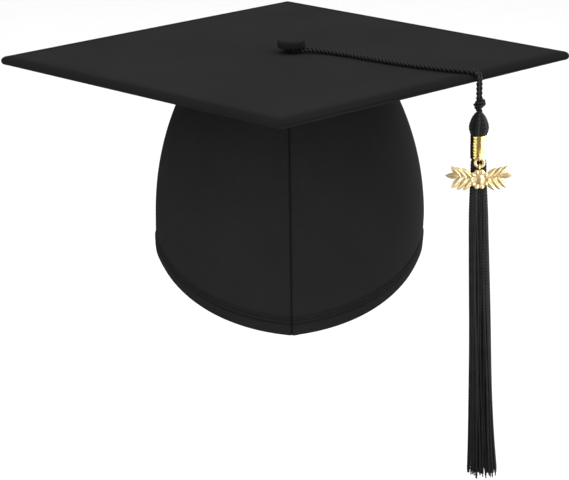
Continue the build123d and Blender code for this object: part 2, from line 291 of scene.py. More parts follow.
def floor():
    """Matt white paper, which polished things don't mirror."""
    half, level = 9.0, -0.32
    surface = Shader("studio_floor", 0.9, Specular_IOR_Level=0.1)
    paper = surface.noise(surface.place(), 30, 4.0)
    surface.link(surface.ramp(paper, (0.91, 0.91, 0.91, 1), (0.93, 0.93, 0.93, 1)), "Base Color")
    surface.link(surface.bump(paper, 0.0002, 0.1), "Normal")
    mesh = bpy.data.meshes.new("floor")
    mesh.from_pydata([(-half, -half, level), (half, -half, level), (half, half, level),
                      (-half, half, level)], [], [(0, 1, 2, 3)])
    mesh.materials.append(surface.material)
    made = put("floor", mesh)
    made.visible_glossy = False


floor()

# ---- mesh tools


def signed_volume(points, quads, caps):
    """Six times the volume inside a closed mesh; negative where its faces look inwards."""
    a, b, c, d = (points[quads[:, corner]] for corner in range(4))
    total = np.sum(a * (np.cross(b, c) + np.cross(c, d)))
    for cap in caps:
        first, second, third = points[cap[0]], points[cap[1:-1]], points[cap[2:]]
        total += np.sum(first * np.cross(second, third))
    return total


def build(name, points, quads, material, body, replaces=(), caps=(), thread=None,
          crease=None):
    """A mesh object from millimetre points, riding on a body and standing for CAD nodes."""
    points = np.asarray(points, float).reshape(-1, 3) * MM
    quads = np.asarray(quads, np.int32).reshape(-1, 4)
    caps = [np.asarray(cap, np.int32) for cap in caps]
    if signed_volume(points, quads, caps) < 0:
        quads, caps = quads[:, ::-1], [cap[::-1] for cap in caps]
    loops = np.concatenate([quads.ravel()] + caps) if caps else quads.ravel()
    sizes = np.concatenate([np.full(len(quads), 4), [len(cap) for cap in caps]]).astype(np.int32)
    starts = np.concatenate([[0], np.cumsum(sizes)[:-1]]).astype(np.int32)
    mesh = bpy.data.meshes.new(name)
    mesh.vertices.add(len(points))
    mesh.vertices.foreach_set("co", points.ravel().astype(np.float32))
    mesh.loops.add(len(loops))
    mesh.loops.foreach_set("vertex_index", loops.astype(np.int32))
    mesh.polygons.add(len(sizes))
    mesh.polygons.foreach_set("loop_start", starts)
    mesh.update(calc_edges=True)
    mesh.validate()
    mesh.polygons.foreach_set("use_smooth", np.ones(len(mesh.polygons), bool))
    if thread is None:
        thread = points / MM
    attribute = mesh.attributes.new("thread", "FLOAT_VECTOR", "POINT")
    attribute.data.foreach_set("vector", (np.asarray(thread, float).reshape(-1, 3) * MM)
                               .ravel().astype(np.float32))
    # the crease attribute carries painted shade: how much the cloth's colour is darkened at each point
    if crease is not None:
        mark = mesh.attributes.new("crease", "FLOAT", "POINT")
        mark.data.foreach_set("value", np.asarray(crease, np.float32).ravel())
    mesh.materials.append(material)
    made = put(name, mesh)
    if body is not None:
        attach(made, body)
    if replaces:
        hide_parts(*replaces)
    return made


def grid_quads(rows, columns, close_rows=False, close_columns=False, start=0):
    """The faces of a grid whose points run along its columns first."""
    row = np.arange(rows if close_rows else rows - 1)
    column = np.arange(columns if close_columns else columns - 1)
    r, c = np.meshgrid(row, column, indexing="ij")
    r1, c1 = (r + 1) % rows, (c + 1) % columns
    quads = np.stack([r * columns + c, r * columns + c1, r1 * columns + c1, r1 * columns + c], -1)
    return quads.reshape(-1, 4) + start


def smooth_step(value):
    """From 0 to 1 without corners, as the value does."""
    value = np.clip(value, 0, 1)
    return value * value * (3 - 2 * value)


def bell(distance, width):
    """1 at no distance, falling smoothly to nothing on both sides."""
    return np.exp(-(distance / width) ** 2)


def waves(u, v, seed, count=6, high=3.0):
    """A smooth, repeatable ripple over two coordinates in radians, from -1 to 1 or so."""
    source = np.random.default_rng(seed)
    total = np.zeros(np.broadcast(u, v).shape)
    for _ in range(count):
        a, b = source.uniform(-high, high, 2)
        wave = np.sin(a * u + b * v + source.uniform(0, 6.3))
        total = total + math.sqrt(1 / count) * wave * source.uniform(0.5, 1)
    return total


def full_turn(count):
    """Angles evenly spaced round a circle."""
    return np.linspace(0, 2 * math.pi, count, endpoint=False)


def frames_along(path):
    """Tangents and two normals carried along a path without twisting."""
    tangents = np.gradient(path, axis=0)
    tangents /= np.linalg.norm(tangents, axis=1)[:, None]
    first = np.cross(tangents[0], (0.3, 1.0, 0.2))
    normals = [first / np.linalg.norm(first)]
    for tangent in tangents[1:]:
        carried = normals[-1] - tangent * np.dot(normals[-1], tangent)
        normals.append(carried / np.linalg.norm(carried))
    normals = np.array(normals)
    return tangents, normals, np.cross(tangents, normals)


def run_along(path):
    """How far along a path each of its points lies."""
    return np.concatenate([[0], np.cumsum(np.linalg.norm(np.diff(path, axis=0), axis=1))])


def points_at(wanted, lengths, path):
    """The points that lie at the wanted lengths along a path."""
    return np.stack([np.interp(wanted, lengths, column) for column in path.T], 1)


def evenly(path, step):
    """A path's points again, evenly spaced along it."""
    lengths = run_along(path)
    count = max(int(lengths[-1] / step), 2)
    wanted = np.linspace(0, lengths[-1], count + 1)
    return points_at(wanted, lengths, path), wanted


def resampled(profile, count):
    """A profile of straight pieces again, as count points."""
    profile = np.asarray(profile, float)
    steps = np.linspace(0, len(profile) - 1, count)
    return points_at(steps, np.arange(len(profile)), profile)


def twisted(path, along, radius, pitch, sides=12, pinch=0.4, phase=0.0, tone=1.0):
    """Rings of a two-ply yarn along a path, and their thread coordinates: each ring is two lobes, and
    the lobes turn with it. tone makes one strand darker than the next."""
    _, normal, other = frames_along(path)
    angle = full_turn(sides)
    turn = 2 * math.pi * along / pitch + phase
    lobe = np.sqrt(np.cos(angle) ** 2 + pinch**2) / math.sqrt(1 + pinch**2)
    size = np.broadcast_to(np.asarray(radius, float), along.shape)
    ring = size[:, None] * lobe[None, :]
    swept = angle[None, :] + turn[:, None]
    points = path[:, None, :] + (ring * np.cos(swept))[..., None] * normal[:, None, :] + \
        (ring * np.sin(swept))[..., None] * other[:, None, :]
    # the third thread coordinate carries painted shading: high on the lobes' crests, nothing in the
    # groove between them, scaled by tone
    painted_ply_shading = tone * np.broadcast_to(np.abs(np.cos(angle))[None, :], ring.shape) / MM
    thread = np.stack([np.broadcast_to(angle[None, :] * size[:, None], ring.shape),
                       np.broadcast_to(along[:, None], ring.shape), painted_ply_shading], -1)
    return points, thread


def tubes(name, pieces, material, body, replaces=(), thread=None, crease=None):
    """One mesh of capped tubes, each of them a grid of rings."""
    points, quads, caps, start = [], [], [], 0
    for rings in pieces:
        count, sides = rings.shape[:2]
        points.append(rings.reshape(-1, 3))
        quads.append(grid_quads(count, sides, close_columns=True, start=start))
        caps += [start + np.arange(sides)[::-1], start + (count - 1) * sides + np.arange(sides)]
        start += count * sides
    return build(name, np.concatenate(points), np.concatenate(quads), material, body, replaces,
                 caps, thread, crease)


def strands_mesh(name, strands, material, body, replaces=()):
    """One mesh of many strands, each of them rings and their thread coordinates."""
    thread = np.concatenate([coordinates.reshape(-1, 3) for _, coordinates in strands])
    return tubes(name, [rings for rings, _ in strands], material, body, replaces, thread)


def lathe(name, profile, centre, material, body, replaces, sides, ripple=None):
    """A round piece: (radius, height) points turned about an upright line. A profile that ends where
    it starts makes a ring, and any other is capped."""
    profile = np.asarray(profile, float)
    angle = full_turn(sides)
    radius = np.broadcast_to(profile[:, 0][:, None], (len(profile), sides)).copy()
    height = np.broadcast_to(profile[:, 1][:, None], (len(profile), sides)).copy()
    if ripple is not None:
        radius, height = ripple(radius, height, angle[None, :])
    points = np.stack([centre[0] + radius * np.cos(angle), centre[1] + radius * np.sin(angle),
                       height], -1)
    thread = np.stack([radius * angle[None, :], height + radius, np.zeros(radius.shape)], -1)
    if np.allclose(profile[0], profile[-1]):
        quads = grid_quads(len(points) - 1, sides, close_rows=True, close_columns=True)
        return build(name, points[:-1], quads, material, body, replaces, (), thread[:-1])
    return tubes(name, [points], material, body, replaces, thread)


def stitches(name, row, normals, length=2.5, gap=0.7):
    """A row of sewn stitches on the cap: short threads that dip in at both ends."""
    radius, sink, twist = 0.16, 0.05, 1.1
    lengths = run_along(row)
    local = np.linspace(-0.5, 0.5, 7)
    lift = radius * 0.75 - (radius * 1.5 + sink) * (2 * np.abs(local)) ** 4
    strands = []
    for index in range(int(lengths[-1] / (length + gap))):
        along = (index + 0.5) * (length + gap) + local * length
        path = points_at(along, lengths, row) + points_at(along, lengths, normals) * lift[:, None]
        strands.append(twisted(path, local * length, radius, twist, 8, 0.9))
    return strands_mesh(name, strands, thread_shine, "cap")


# ---- the tassel's cord

tassel_x, tassel_y = 111.7, -60.4
knot_bottom = 97.7
button_x, button_y = 4.0, 6.0
cord_level = 121.3

# From the knot up over the board's edge, across to the button post, round it and back
cord_route = [
    (112.44, -59.66, 103.2),
    (112.44, -59.66, 113.5),
    (112.44, -59.66, cord_level),
    (102.0, -56.0, cord_level),
    (88.6, -49.3, cord_level),
    (70.7, -37.6, cord_level),
    (52.8, -22.6, cord_level),
    (36.7, -8.1, cord_level),
    (19.9, 3.2, cord_level),
    (9.6, 7.9, cord_level),
    (1.5, 10.1, cord_level),
    (-0.1, 3.5, cord_level),
    (8.1, 1.7, cord_level),
    (19.3, 0.9, cord_level),
    (35.3, -9.9, cord_level),
    (51.2, -24.4, cord_level),
    (69.3, -39.4, cord_level),
    (87.4, -51.3, cord_level),
    (101.0, -58.1, cord_level),
    (110.96, -61.14, cord_level),
    (110.96, -61.14, 113.5),
    (110.96, -61.14, 103.2),
]


def spline_points(route):
    """The points of the smooth NURBS line that a route's points control, in millimetres."""
    data = bpy.data.curves.new("route", "CURVE")
    data.dimensions = "3D"
    spline = data.splines.new("NURBS")
    spline.points.add(len(route) - 1)
    for point, place in zip(spline.points, route):
        point.co = (place[0] * MM, place[1] * MM, place[2] * MM, 1)
    spline.order_u = 3
    spline.use_endpoint_u = True
    spline.resolution_u = 24
    holder = put("route", data)
    line = bpy.data.meshes.new_from_object(holder)
    points = np.array([vertex.co[:] for vertex in line.vertices])
    bpy.data.objects.remove(holder)
    bpy.data.curves.remove(data)
    bpy.data.meshes.remove(line)
    return points / MM


def tassel_cord():
    """The doubled cord on the board, bending over its edge where the tassel swings."""
    ply_reach, twist, pinch = 1.2, 5.4, 0.72
    path, along = evenly(spline_points(cord_route), 0.24)
    made = strands_mesh("tassel_cord_yarn", [twisted(path, along, ply_reach, twist, 16, pinch)],
                        cord_black, None, ("tassel_loop", "tassel_drop"))
    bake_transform(made)


tassel_cord()

# ---- skull cap surfaces

# The crown stands a little to the right of the board's middle, and a little turned
crown_shift, crown_turn = 1.5, math.radians(1.3)
# Its half width and its reach to the front and back, each with the arc that it leans in on and the
# level where it is widest
half_width, width_arc, width_level = 81.6, 167.0, 20.0
crown_front, front_arc, front_level = 96.5, 303.0, -10.0
crown_back, back_arc, back_level = 100.5, 260.0, 0.0
# Where its outline is widest, how it turns at the two seams, and how far its handles pull
widest_y, nose, nape, pull = 8.0, math.radians(10), math.radians(8), 0.575
tip_bottom = 113.8
# The lower edge: its highest place, its slopes to the front and back, and the arc between them
rim_peak_y, rim_peak_z, rim_front, rim_back, rim_arc = -14.0, 2.0, 0.312, -0.13, 90.0


def bezier(points, t):
    """Places along a cubic curve from four points in plan."""
    s = 1 - t
    weights = (s**3, 3 * s * s * t, 3 * s * t * t, t**3)
    return tuple(sum(w * p[axis] for w, p in zip(weights, points)) for axis in range(2))


def oval(turn, level, inset):
    """The crown's outline. turn runs from 0 at the front seam through 1 at the back seam to 2."""
    turn = np.mod(turn, 2.0)
    side = np.where(turn <= 1, 1.0, -1.0)
    part = np.where(turn <= 1, turn, 2 - turn)

    def leaning(size, arc, middle):
        return size - (arc - np.sqrt(arc**2 - (level - middle) ** 2)) - inset

    width = leaning(half_width, width_arc, width_level)
    front = leaning(crown_front, front_arc, front_level)
    back = leaning(crown_back, back_arc, back_level)
    reach = pull * width
    first = part <= 0.5
    t = np.where(first, part * 2, part * 2 - 1)
    ax, ay = bezier(((0, -front), (reach * math.cos(nose), -front + reach * math.sin(nose)),
                     (width, widest_y - pull * (front + widest_y)), (width, widest_y)), t)
    bx, by = bezier(((width, widest_y), (width, widest_y + pull * (back - widest_y)),
                     (reach * math.cos(nape), back - reach * math.sin(nape)), (0, back)), t)
    return side * np.where(first, ax, bx), np.where(first, ay, by)


def rim_height(y):
    """The lower edge in side view: two slopes joined by an arc."""
    left, right = math.atan(rim_front), math.atan(rim_back)
    offset = rim_arc * math.tan((left - right) / 2)
    start, end = rim_peak_y - offset * math.cos(left), rim_peak_y + offset * math.cos(right)
    centre_y = start + rim_arc * math.sin(left)
    centre_z = rim_peak_z - rim_front * (rim_peak_y - start) - rim_arc * math.cos(left)
    curved = centre_z + np.sqrt(np.maximum(rim_arc**2 - (y - centre_y) ** 2, 0))
    return np.where(y < start, rim_peak_z + rim_front * (y - rim_peak_y),
                    np.where(y > end, rim_peak_z + rim_back * (y - rim_peak_y), curved))


def in_part_frame(x, y, z):
    """Points of the crown in the whole part's frame."""
    c, s = math.cos(crown_turn), math.sin(crown_turn)
    return np.stack([crown_shift + x * c - y * s, x * s + y * c, z], -1)


def rim_of(turn, inset):
    """The rim's height at each turn, where the wall leans and so moves with height."""
    level = np.zeros(np.shape(turn))
    for _ in range(8):
        _, y = oval(turn, level, inset)
        level = rim_height(y)
    return level


def even_turns(start, end, count):
    """Turns from start to end that are evenly spaced round the oval."""
    fine = np.linspace(start, end, 1200)
    x, y = oval(fine, 40.0, 0.0)
    lengths = np.concatenate([[0], np.cumsum(np.hypot(np.diff(x), np.diff(y)))])
    return np.interp(np.linspace(0, lengths[-1], count), lengths, fine), lengths[-1]


def wall_level(turn, share, inset, low, high):
    """A height on the crown's wall: share runs from low above the rim to high, or to the tip."""
    rim = rim_of(turn, inset)
    top = tip_bottom if high is None else rim + high
    return rim + low + (top - rim - low) * share


def ease(turn, level):
    """The soft cloth's broad swells, which all the layers of the wall follow together."""
    x, _ = oval(turn, level, 0.0)
    height = level - rim_of(turn, 0.0)
    fade = smooth_step((height - 2) / 22) * smooth_step((tip_bottom - level) / 14)
    broad = 0.8 * fade * waves(np.asarray(turn) * 9.0, level / 26.0, 11, 7, high=1.0)
    lip = 0.35 * np.sin(np.asarray(turn) * 14.0) * smooth_step((10 - height) / 10)
    return broad + lip


# How deep each layer lies in the wall, and how thick it is
panel_place, lining_place, facing_place, tape_place = (0.0, 0.9), (1.0, 0.8), (1.9, 0.7), (1.95, 0.6)
label_place, band_place, elastic_place = (2.25, 0.35), (2.7, 1.0), (3.9, 0.9)


def layer(name, start, end, columns, low, high, place, material, replaces,
          shape=None, rows=60, crowd=1.0, painted_shade=None):
    """A closed cloth layer on the crown's wall, with rounded long edges, between two turns and from
    low to high above the rim, or to the tip.

    shape(turn, share, level) gives how far the layer stands out from its place, in mm, and
    painted_shade(turn, share, level) how much painted shade it gets, from 0 to 1. crowd above 1 brings
    rows to the rim."""
    inset, thickness = place
    turns, reach = even_turns(start, end, columns)
    share_out = np.linspace(0, 1, rows) ** crowd
    roll = np.linspace(0, math.pi, 7)[1:-1]
    swell = 0.45 * thickness * np.sin(roll)
    # the loop: outside from bottom to top, over the top edge, inside down, round the bottom edge
    shares = np.concatenate([share_out, np.ones(5), share_out[::-1], np.zeros(5)])
    depths = np.concatenate([np.zeros(rows), thickness * (1 - np.cos(roll)) / 2,
                             np.full(rows, thickness), thickness * (1 + np.cos(roll)) / 2])
    bulge = np.concatenate([np.zeros(rows), swell * (high is not None), np.zeros(rows), -swell])
    count = len(shares)
    turn, share, depth, around = (np.broadcast_to(grid, (count, columns)) for grid in (
        turns, shares[:, None], depths[:, None], np.linspace(0, reach, columns)))
    level = wall_level(turn, share, inset, low, high)
    out = ease(turn, level) + (0 if shape is None else shape(turn, share, level))
    # painted shade for each point, stored in the crease attribute
    dark = None if painted_shade is None else painted_shade(turn, share, level)
    level = level + bulge[:, None]
    points = in_part_frame(*oval(turn, level, inset + depth - out), level)
    thread = np.stack([around, level, np.zeros((count, columns))], -1)
    quads = grid_quads(count, columns, close_rows=True)
    caps = [np.arange(count) * columns, (np.arange(count) * columns + columns - 1)[::-1]]
    return build(name, points, quads, material, "cap", replaces, caps, thread, dark)


# The hem's rows of stitches, above the rim, and how far short of a seam they stop, as a turn
stitch_rows = (6.4, 8.6)
seam_clear = 0.012


def panel_painted_shade(turn, share, level):
    """Painted shade in dark lines along the seam, the two stitched rows and the step above the hem; the
    hem band below them is darkened a little too.
    """
    x, _ = oval(turn, level, 0.0)
    height = level - rim_of(turn, 0.0)
    fade = 1 - 0.75 * smooth_step((level - 78) / 30)
    seam = 0.45 * bell(x, 0.8) * fade
    rows = sum(0.8 * bell(height - row, 0.42) for row in stitch_rows)
    step = 0.35 * bell(height - 10.4, 0.8)
    hem = 0.16 * smooth_step((8.6 - height) / 0.6)
    return np.clip(seam + rows + step + hem, 0, 1)


def panel_shape(turn, share, level):
    """How the outer panels stand: seam valley, pressed allowance, puckers and stitched hem."""
    x, y = oval(turn, level, 0.0)
    height = level - rim_of(turn, 0.0)
    across = np.where(y < 0, x, -x)
    valley = -0.7 * bell(x, 0.6)
    pressed = 0.5 * smooth_step((across - 0.35) / 0.35) * smooth_step((3.3 - across) / 0.4)
    pucker = 0.2 * np.sin(level / 1.45 + 1.3 * np.sin(level / 7.0)) * np.exp(-np.abs(x) / 5.0)
    rows = -0.4 * sum(bell(height - row, 0.45) for row in stitch_rows)
    draw = 1 + 0.25 * np.sin(np.asarray(turn) * 570.0)
    hem = 0.7 * smooth_step((10.3 - height) / 1.0)
    folds = np.sin(x / 3.4 + 0.9 * np.sin(y / 9.0) + level / 12.0)
    gather = 0.4 * smooth_step((level - 88) / 20) * folds * smooth_step((tip_bottom - level) / 3)
    return valley + pressed + pucker + rows * draw + hem + gather


def wall_line(turns, level, inset):
    """A line on the wall, with the way out at each point."""
    here, there = (in_part_frame(*oval(turns, level, depth), level) for depth in (inset, inset - 1.0))
    return here, (there - here) / np.linalg.norm(there - here, axis=1)[:, None]


def rim_row(height, inset, start, end, shape=None):
    """A line round the wall at a height above the rim, with the way out at each point."""
    turns, _ = even_turns(start, end, 420)
    level = rim_of(turns, inset) + height
    out = ease(turns, level) + (0 if shape is None else shape(turns, 0, level))
    return wall_line(turns, level, inset - out)


def crown():
    """Each half of the skull cap: cloth, lining, and the hem turned up and stitched."""
    for hand, start, end in (("right", 0.0, 1.0), ("left", 1.0, 2.0)):
        cloth = layer(f"crown_cloth_{hand}", start, end, 260, 0.0, None, panel_place, cap_cloth,
                      (f"crown_panel_{hand}",), panel_shape, 150, 1.5, panel_painted_shade)
        lining = layer(f"crown_lining_{hand}", start, end, 120, 0.2, None, lining_place, lining_cloth,
                       (f"lining_{hand}",), rows=50,
                       shape=lambda turn, share, level: -0.25 - 0.25 * waves(turn * 30, level / 15, 5))
        facing = layer(f"hem_facing_cloth_{hand}", start, end, 160, 0.6, 13.0, facing_place, cap_cloth,
                       (f"hem_facing_{hand}",), rows=16,
                       shape=lambda turn, share, level: 0.1 * np.sin(turn * 90.0))
        for index, height in enumerate(stitch_rows):
            stitches(f"hem_stitches_{hand}_{index + 1}",
                     *rim_row(height, 0.0, start + seam_clear, end - seam_clear, panel_shape))


crown()


def turn_where(x_wanted, level=30.0, start=0.5):
    """The turn on the right half of the wall that lies x from the middle: behind the widest place,
    or in front of it where start is 0."""
    turns = np.linspace(start, start + 0.5, 600)
    x, _ = oval(turns, level, 0.0)
    order = 1 if x[-1] > x[0] else -1
    return float(np.interp(x_wanted, x[::order], turns[::order]))


def band_ribs(turn, share, level):
    """Grosgrain ribs along the band, and a little ease round the head."""
    return 0.1 * np.sin(level * 2.4) + 0.18 * np.sin(turn * 26.0) * np.sin(share * math.pi) - 0.1


def elastic_ribs(turn, share, level):
    """Ruffles across the elastic, drawn up between its ends."""
    return 0.32 * np.sin(turn * 330.0) * np.sin(share * math.pi) ** 0.5 + 0.08 * np.sin(level * 2.0)


def crown_inside():
    """The bands, tapes and label inside the skull cap, and the stitches that hold them."""
    # the turns where the band ends, where the elastic ends, and where it is sewn to the band
    gap, grip, sewn = turn_where(40.0), turn_where(46.0), turn_where(43.0)
    band = layer("sweatband_cloth", 2 - gap, 2 + gap, 300, 3.0, 33.0, band_place, band_cloth,
                 ("sweatband",), band_ribs)
    elastic = layer("back_elastic_cloth", grip, 2 - grip, 260, 3.0, 33.0, elastic_place,
                    elastic_cloth, ("back_elastic",), elastic_ribs, 40)
    front_edge, back_edge = turn_where(7.0, 60.0, 0.0), turn_where(7.0)
    for name, low, high, length in (("front_seam_tape", 2 - front_edge, 2 + front_edge, 0.103),
                                    ("back_seam_tape", back_edge, 2 - back_edge, 0.088)):
        tape = layer(f"{name}_cloth", low, high, 30, 36.0, None, tape_place, tape_cloth, (name,),
                     lambda turn, share, level: -0.08 + 0.1 * np.sin(level / 4.0))
    label = layer("size_label_cloth", turn_where(34.0, 60.0), turn_where(12.0, 60.0), 40, 46.0, 64.0,
                  label_place, label_cloth, ("size_label",), rows=26,
                  shape=lambda turn, share, level: 0.12 * np.sin(share * math.pi) +
                  0.05 * np.sin(turn * 90))
    for name, height in (("sweatband_stitches_low", 4.6), ("sweatband_stitches_high", 31.4)):
        row, normals = rim_row(height, 3.72, 2 - gap + seam_clear / 2, 2 + gap - seam_clear / 2)
        stitches(name, row, -normals, 3.0, 1.2)
    for name, turn in (("elastic_stitches_right", sewn), ("elastic_stitches_left", 2 - sewn)):
        turns = np.full(30, turn)
        row, normals = wall_line(turns, rim_of(turns, 4.8) + np.linspace(5.0, 31.0, 30), 4.82)
        stitches(name, row, -normals, 2.2, 0.5)


crown_inside()


def flat_plate(name, outlines, replaces, lift, painted_shade=None):
    """A closed plate of the cap's cloth: rows of loops, each (points in plan, height)."""
    points = np.array([np.concatenate([plan, np.full((len(plan), 1), height)], 1)
                       for plan, height in outlines])
    points[..., 2] += lift(points)
    # painted shade for each point, stored in the crease attribute
    dark = None if painted_shade is None else painted_shade(points)
    return tubes(name, [points], cap_cloth, "cap", replaces, points, dark)


def tip_cloth():
    """The cloth oval that closes the top of the crown, gathered in round the button's post."""
    hole_radius = 2.3
    turns, _ = even_turns(0.0, 1.9999, 200)
    x, y = oval(turns[:-1], tip_bottom, 0.3)
    edge = in_part_frame(x, y, np.zeros(len(x)))[:, :2]
    angle = np.arctan2(edge[:, 1] - button_y, edge[:, 0] - button_x)
    hole = np.stack([button_x + hole_radius * np.cos(angle), button_y + hole_radius * np.sin(angle)], 1)
    # the loop: the face below outwards, the rim, and the face above inwards
    shares = np.concatenate([np.linspace(0, 1, 34), [1.002], np.linspace(1, 0, 8)])
    heights = tip_bottom + np.repeat((0.05, 0.6, 1.15), (34, 1, 8))
    plan = hole + (edge - hole) * shares[:, None, None]
    rings = np.concatenate([plan, np.broadcast_to(heights[:, None, None], plan.shape[:2] + (1,))], -1)
    radius = np.linalg.norm(plan - (button_x, button_y), axis=-1)
    ripple = -0.28 * (1 + np.sin(angle * 26 + 1.2 * np.sin(angle * 3)))
    fall = smooth_step((radius - 9) / 12) * smooth_step((60 - radius) / 30)
    rings[..., 2] += (rings[..., 2] < tip_bottom + 0.3) * ripple * fall
    quads = grid_quads(len(rings), rings.shape[1], close_rows=True, close_columns=True)
    made = build("crown_tip_cloth", rings, quads, lining_cloth, "cap", ("crown_tip",))


# ---- board

board_side, board_top, board_bottom = 241.0, 120.0, 115.0
under_stitches = 18.9


def board_loop(inset):
    """The board's rounded square, turned so that its corners lie on the axes. Its points crowd
    towards the corners."""
    per_side, per_corner, crowding = 56, 9, 0.35
    half = board_side / 2 - inset
    corner = max(3.5 - inset, 0.8)
    straight = half - corner
    ends = np.linspace(-1, 1, per_side)
    ends = (1 - crowding) * ends + crowding * (2 * smooth_step((ends + 1) / 2) - 1)
    arc = np.radians(np.linspace(0, 90, per_corner + 2)[1:-1])
    x = np.concatenate([np.full(per_side, half), straight + corner * np.cos(arc)])
    y = np.concatenate([straight * ends, straight + corner * np.sin(arc)])
    turn = np.radians(45 + 90 * np.arange(4))[:, None]
    plan = (x * np.cos(turn) - y * np.sin(turn), x * np.sin(turn) + y * np.cos(turn))
    return np.stack(plan, -1).reshape(-1, 2)


def edge_distance(x, y):
    """How far in from the board's nearest side a point lies, and how far along that side."""
    u, v = (x + y) / math.sqrt(2), (x - y) / math.sqrt(2)
    return board_side / 2 - np.maximum(np.abs(u), np.abs(v)), np.where(np.abs(u) > np.abs(v), v, u)


def top_lift(points):
    """The top cloth's sag, the pull round its edge, its dimple under the button, and on the
    underside the mitred corners and the gathers of the turned edge."""
    x, y, z = points[..., 0], points[..., 1], points[..., 2]
    inside, along = edge_distance(x, y)
    sag = -0.16 - 0.16 * waves(x / 42.0, y / 42.0, 21)
    pull_in = 1 + np.sin(along / 4.1 + 1.7 * np.sin(along / 23.0))
    drawn = -0.1 * pull_in * bell(inside - 5.5, 4.0)
    dimple = -0.55 * bell(np.hypot(x - button_x, y - button_y), 11.0)
    off_mitre = np.minimum(np.abs(x), np.abs(y))
    mitre = -0.28 * bell(off_mitre, 0.9) + \
        0.18 * smooth_step((off_mitre - 0.4) / 1.0) * smooth_step((3.4 - off_mitre) / 1.0)
    hollow = -0.12 * np.abs(np.sin(along / 3.4)) * smooth_step((inside - 9) / 5)
    return np.where(z > board_top - 0.2, (sag + drawn + dimple) * smooth_step((inside - 4.2) / 4),
                    np.where(z < board_bottom + 0.05, -mitre - hollow, 0.0))


def edge_shade(points):
    """The turned-over edge, which the light from above leaves darker."""
    inside, _ = edge_distance(points[..., 0], points[..., 1])
    return np.where(points[..., 2] > board_top - 1.2, 0.5 * smooth_step((10.5 - inside) / 8.0),
                    0.45 * smooth_step((6.0 - inside) / 3.0))


def under_lift(points):
    """The under cloth's ripples, and the groove of its stitches."""
    x, y, z = points[..., 0], points[..., 1], points[..., 2]
    inside, _ = edge_distance(x, y)
    groove = 0.16 * bell(inside - under_stitches, 0.5)
    ripple = 0.12 * (1 + waves(x / 20.0, y / 20.0, 31)) / 2
    return np.where(z < board_bottom + 0.05, groove + ripple, 0.0)


def board_cloths():
    """The cloth over the board, turned round its edge, and the cloth let in underneath."""
    middle = (board_top + board_bottom) / 2 - 0.3
    outline = [(17.0, board_bottom + 0.75), (15.8, board_bottom + 0.35)]
    outline += [(inset, board_bottom) for inset in np.linspace(15.5, 2.9, 12)]
    for width, rise, angles in ((2.2, 2.2, np.linspace(-78, 0, 7)), (4.6, 2.8, np.linspace(9, 84, 12))):
        outline += [(width * (1 - math.cos(angle)), middle + rise * math.sin(angle))
                    for angle in np.radians(angles)]
    outline += [(inset, board_top) for inset in (4.9, 5.8, 7.0, 8.5, 10.5, 13.5, 17.0)]
    outline += [(inset, board_top) for inset in np.linspace(21.0, 118.5, 46)]
    upper = flat_plate("board_top_cloth", [(board_loop(inset), height) for inset, height in outline],
                       ("board_top_cover",), top_lift, edge_shade)
    outline = [(60.0, board_bottom + 0.75), (18.0, board_bottom + 0.75), (16.4, board_bottom + 0.6),
               (16.1, board_bottom + 0.35), (16.3, board_bottom + 0.1), (17.0, board_bottom)]
    outline += [(inset, board_bottom) for inset in np.linspace(18.5, 110.0, 30)]
    lower = flat_plate("board_under_cloth", [(board_loop(inset), height) for inset, height in outline],
                       ("board_under_cover",), under_lift)
    loop = board_loop(under_stitches)
    loop = np.concatenate([loop, loop[:1]])
    row = np.concatenate([loop, np.full((len(loop), 1), board_bottom + 0.12)], 1)
    stitches("under_cover_stitches", row, np.tile((0.0, 0.0, -1.0), (len(row), 1)), 2.6, 0.9)


tip_cloth()
board_cloths()

# ---- button


def gathers(radius, height, angle):
    """The button cloth's folds, drawn in under its edge."""
    low = smooth_step((125.6 - height) / 2.6) * smooth_step((radius - 5.8) / 1.2)
    fold = np.sin(angle * 21 + 0.9 * np.sin(angle * 4.0)) * 0.2 + np.sin(angle * 9 + 1.0) * 0.08
    return radius + low * (fold - 0.1), height + 0 * angle


def button_pieces():
    """The cloth over the button: its inside, the turned edge, and its outside."""
    skin = [(0.3, 126.7), (3.4, 126.7), (6.3, 126.6), (7.4, 126.3), (7.9, 125.2), (7.9, 123.6),
            (7.3, 123.0), (6.3, 122.95), (6.2, 122.8), (6.35, 122.65), (7.2, 122.58), (7.9, 122.62),
            (8.2, 122.85), (8.35, 123.4), (8.35, 124.3), (8.35, 125.2), (8.3, 126.1), (8.05, 126.7),
            (7.6, 127.1), (6.8, 127.3), (5.8, 127.38), (4.2, 127.4), (2.2, 127.42), (0.3, 127.42)]
    made = lathe("button_cloth_cover", resampled(skin, 110), (button_x, button_y), cap_cloth,
                 "button_head", ("button_cloth",), 144, gathers)


button_pieces()

# ---- tassel

fringe_bottom = -125.5
ferrule_top, ferrule_bottom = 84.5, 70.5
tassel = (tassel_x, tassel_y)

# The knot's path, measured from the tassel's line and the knot's foot: down, round to the left,
# behind, up into the ear on the right, across the front and down again
knot_route = [
    (0.3, 0.0, 8.4),
    (0.3, -0.3, 7.2),
    (-0.4, -1.0, 5.9),
    (-1.9, -0.9, 4.5),
    (-1.7, 0.8, 2.9),
    (0.6, 1.9, 3.1),
    (2.5, 0.9, 4.9),
    (2.6, -0.6, 6.6),
    (1.2, -1.9, 6.1),
    (-0.5, -2.1, 4.4),
    (-1.3, -1.3, 2.6),
    (0.0, 0.1, 1.5),
    (0.1, 0.2, 0.4),
    (0.0, 0.0, -1.2),
]


def knot():
    """An overhand knot in the doubled cord, pulled tight on the tassel's head."""
    apart = 0.7
    route = [(tassel_x + x, tassel_y + y, knot_bottom + z) for x, y, z in knot_route]
    path, along = evenly(spline_points(route), 0.2)
    _, normal, _ = frames_along(path)
    strands = [twisted(path + side * normal, along, 1.22, 4.6, 16, 0.6, phase)
               for side, phase in ((apart, 0.0), (-apart, 1.3))]
    strands_mesh("tassel_knot_yarn", strands, cord_black, "tassel_cord", ("tassel_knot",))


